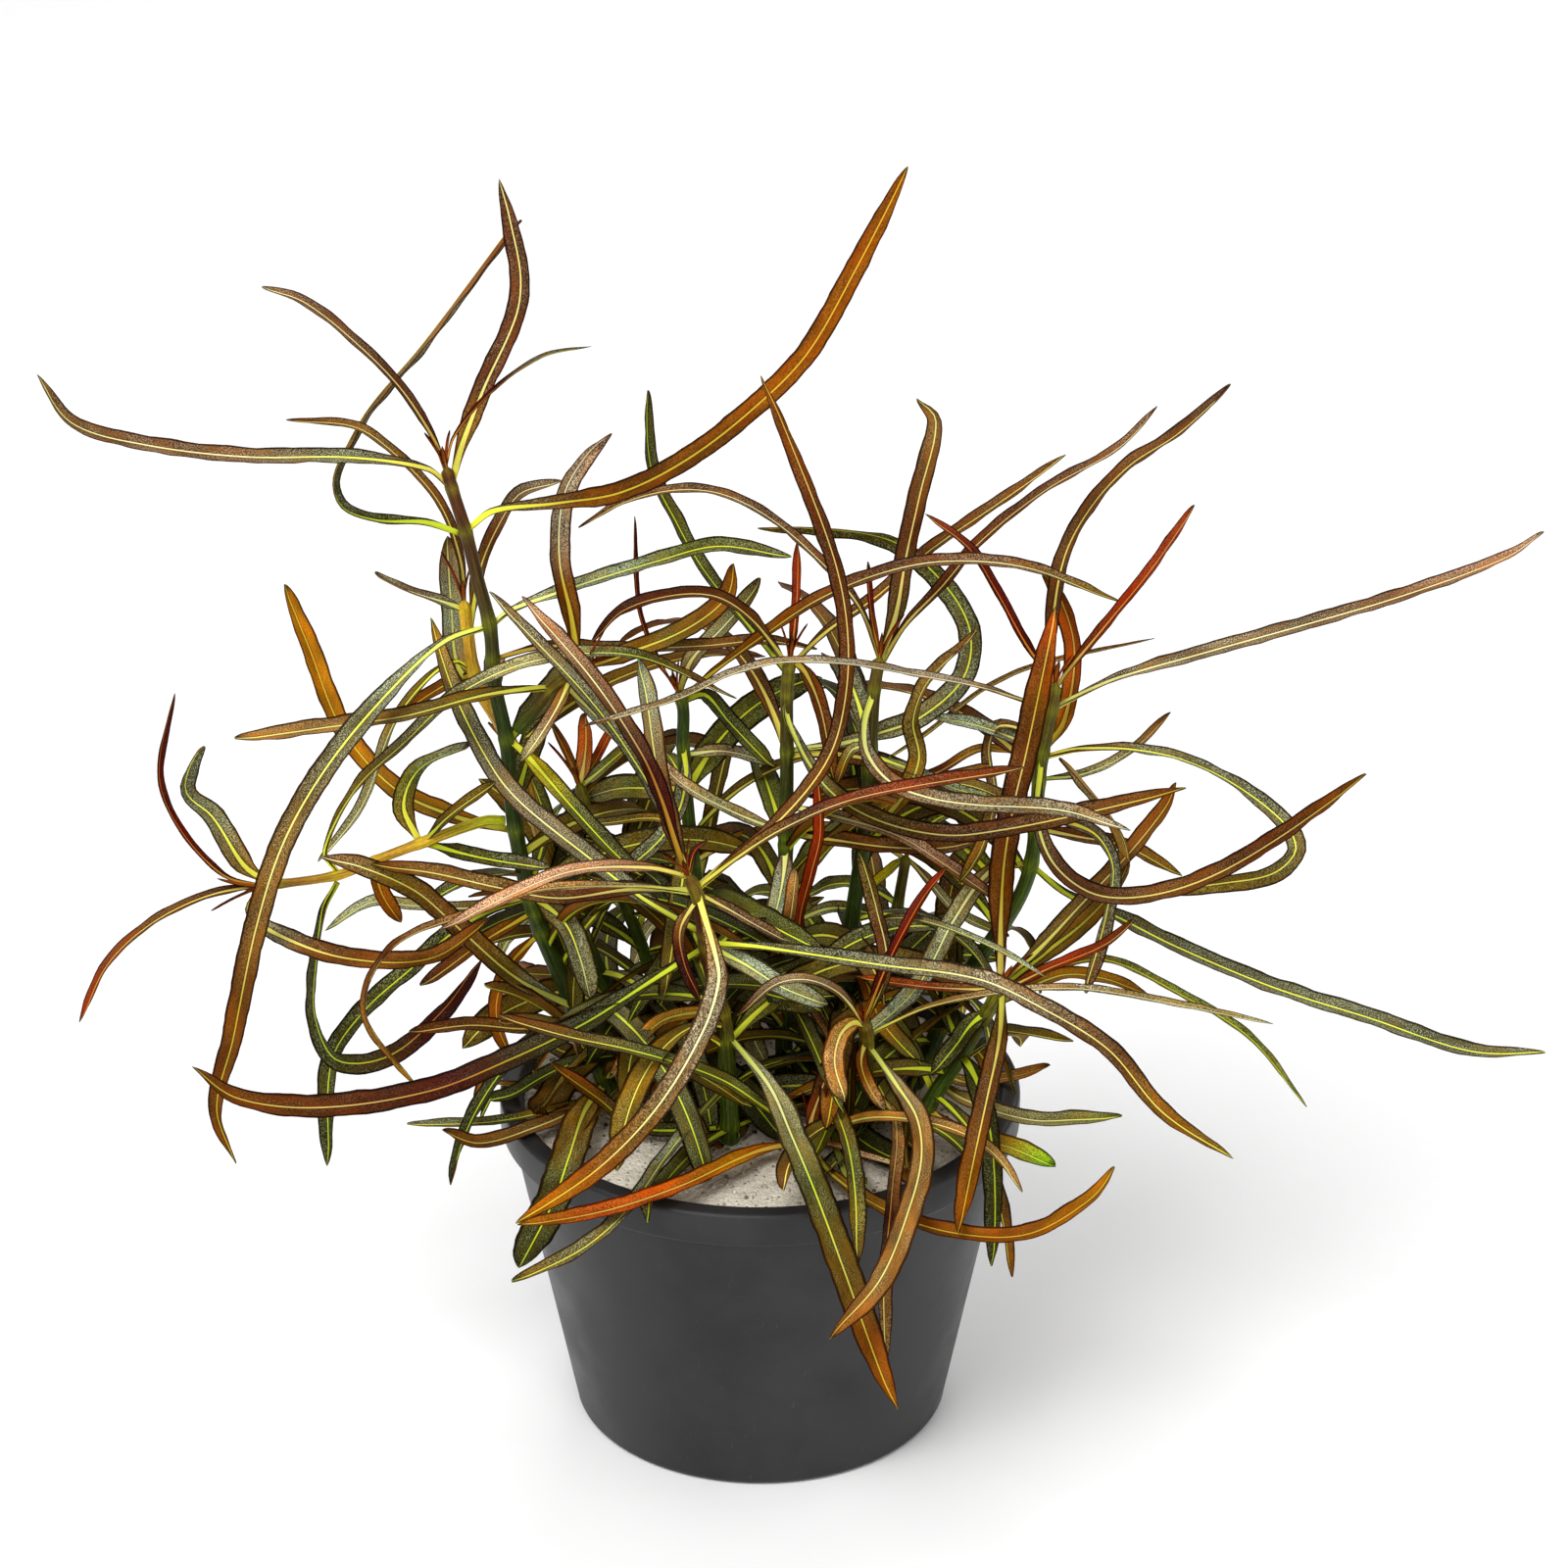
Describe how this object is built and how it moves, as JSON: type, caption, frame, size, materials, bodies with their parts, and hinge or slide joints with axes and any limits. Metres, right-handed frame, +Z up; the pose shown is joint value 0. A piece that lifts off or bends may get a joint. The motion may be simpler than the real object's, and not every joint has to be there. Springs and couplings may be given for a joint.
{
  "type": "potted aquarium plant",
  "caption": "Bushy narrow-leaved aquarium plant with long curved olive, bronze, red and orange leaves, growing in pale sand in a plain round black pot.",
  "frame": {"origin": "middle of the pot's flat underside", "axes": "+Z up, +X along the widest spread of the leaves, -Y towards the side seen in the picture"},
  "size_m": [0.2037, 0.105, 0.1853],
  "materials": {
    "black_plastic": "satin",
    "pale_sand": "rough, fine grains",
    "stem_green": "satin, living stem",
    "leaf_brown": "satin, living leaf",
    "leaf_dark": "satin, living leaf",
    "leaf_green": "satin, living leaf",
    "leaf_orange": "satin, living leaf",
    "leaf_pale": "satin, living leaf",
    "leaf_red": "satin, living leaf"
  },
  "bodies": {
    "root": {"pot": "black_plastic", "sand": "pale_sand", "stem_tall": "stem_green", "stem_left_shoot": "stem_green", "stem_upper_branch": "stem_green", "stem_behind_tall": "stem_green", "stem_young_red": "stem_green", "stem_back_left": "stem_green", "stem_front": "stem_green", "stem_middle": "stem_green", "stem_middle_right": "stem_green", "stem_back_right": "stem_green", "stem_right": "stem_green", "stem_right_low": "stem_green", "stem_front_right": "stem_green", "stem_front_low": "stem_green", "leaf_far_left": "leaf_brown", "leaf_arch_left": "leaf_brown", "leaf_tall_upright": "leaf_brown", "leaf_bent_green": "leaf_dark", "leaf_high_right": "leaf_orange", "leaf_branch_up": "leaf_brown", "leaf_tall_green_right": "leaf_green", "leaf_long_left_arch": "leaf_brown", "leaf_branch_left": "leaf_brown", "leaf_back_orange": "leaf_orange", "leaf_pale_left": "leaf_pale", "leaf_wide_arch": "leaf_pale", "leaf_shoot_loop": "leaf_pale", "leaf_shoot_hook": "leaf_brown", "leaf_left_brown": "leaf_brown", "leaf_left_orange": "leaf_orange", "leaf_left_hook": "leaf_brown", "leaf_low_left": "leaf_brown", "leaf_up_left": "leaf_brown", "leaf_up_pink": "leaf_brown", "leaf_tall_down": "leaf_dark", "leaf_middle_tall": "leaf_brown", "leaf_front_red": "leaf_red", "leaf_low_right": "leaf_pale", "leaf_front_down": "leaf_orange", "leaf_low_orange": "leaf_orange", "leaf_low_grey": "leaf_green", "leaf_broad_dark": "leaf_dark", "leaf_hanging_front": "leaf_brown", "leaf_hanging_curl": "leaf_orange", "leaf_low_sweep": "leaf_brown", "leaf_right_down": "leaf_orange", "leaf_grey_twisted": "leaf_green", "leaf_right_orange_up": "leaf_orange", "leaf_middle_sweep": "leaf_brown", "leaf_pink_sweep": "leaf_pale", "leaf_right_loop": "leaf_green", "leaf_right_swoop": "leaf_pale", "leaf_long_right": "leaf_green", "leaf_far_right": "leaf_brown", "leaf_right_tall": "leaf_brown", "leaf_white_arch": "leaf_pale", "leaf_long_bow": "leaf_brown", "leaf_hoop_green": "leaf_dark"}
  },
  "joints": []
}
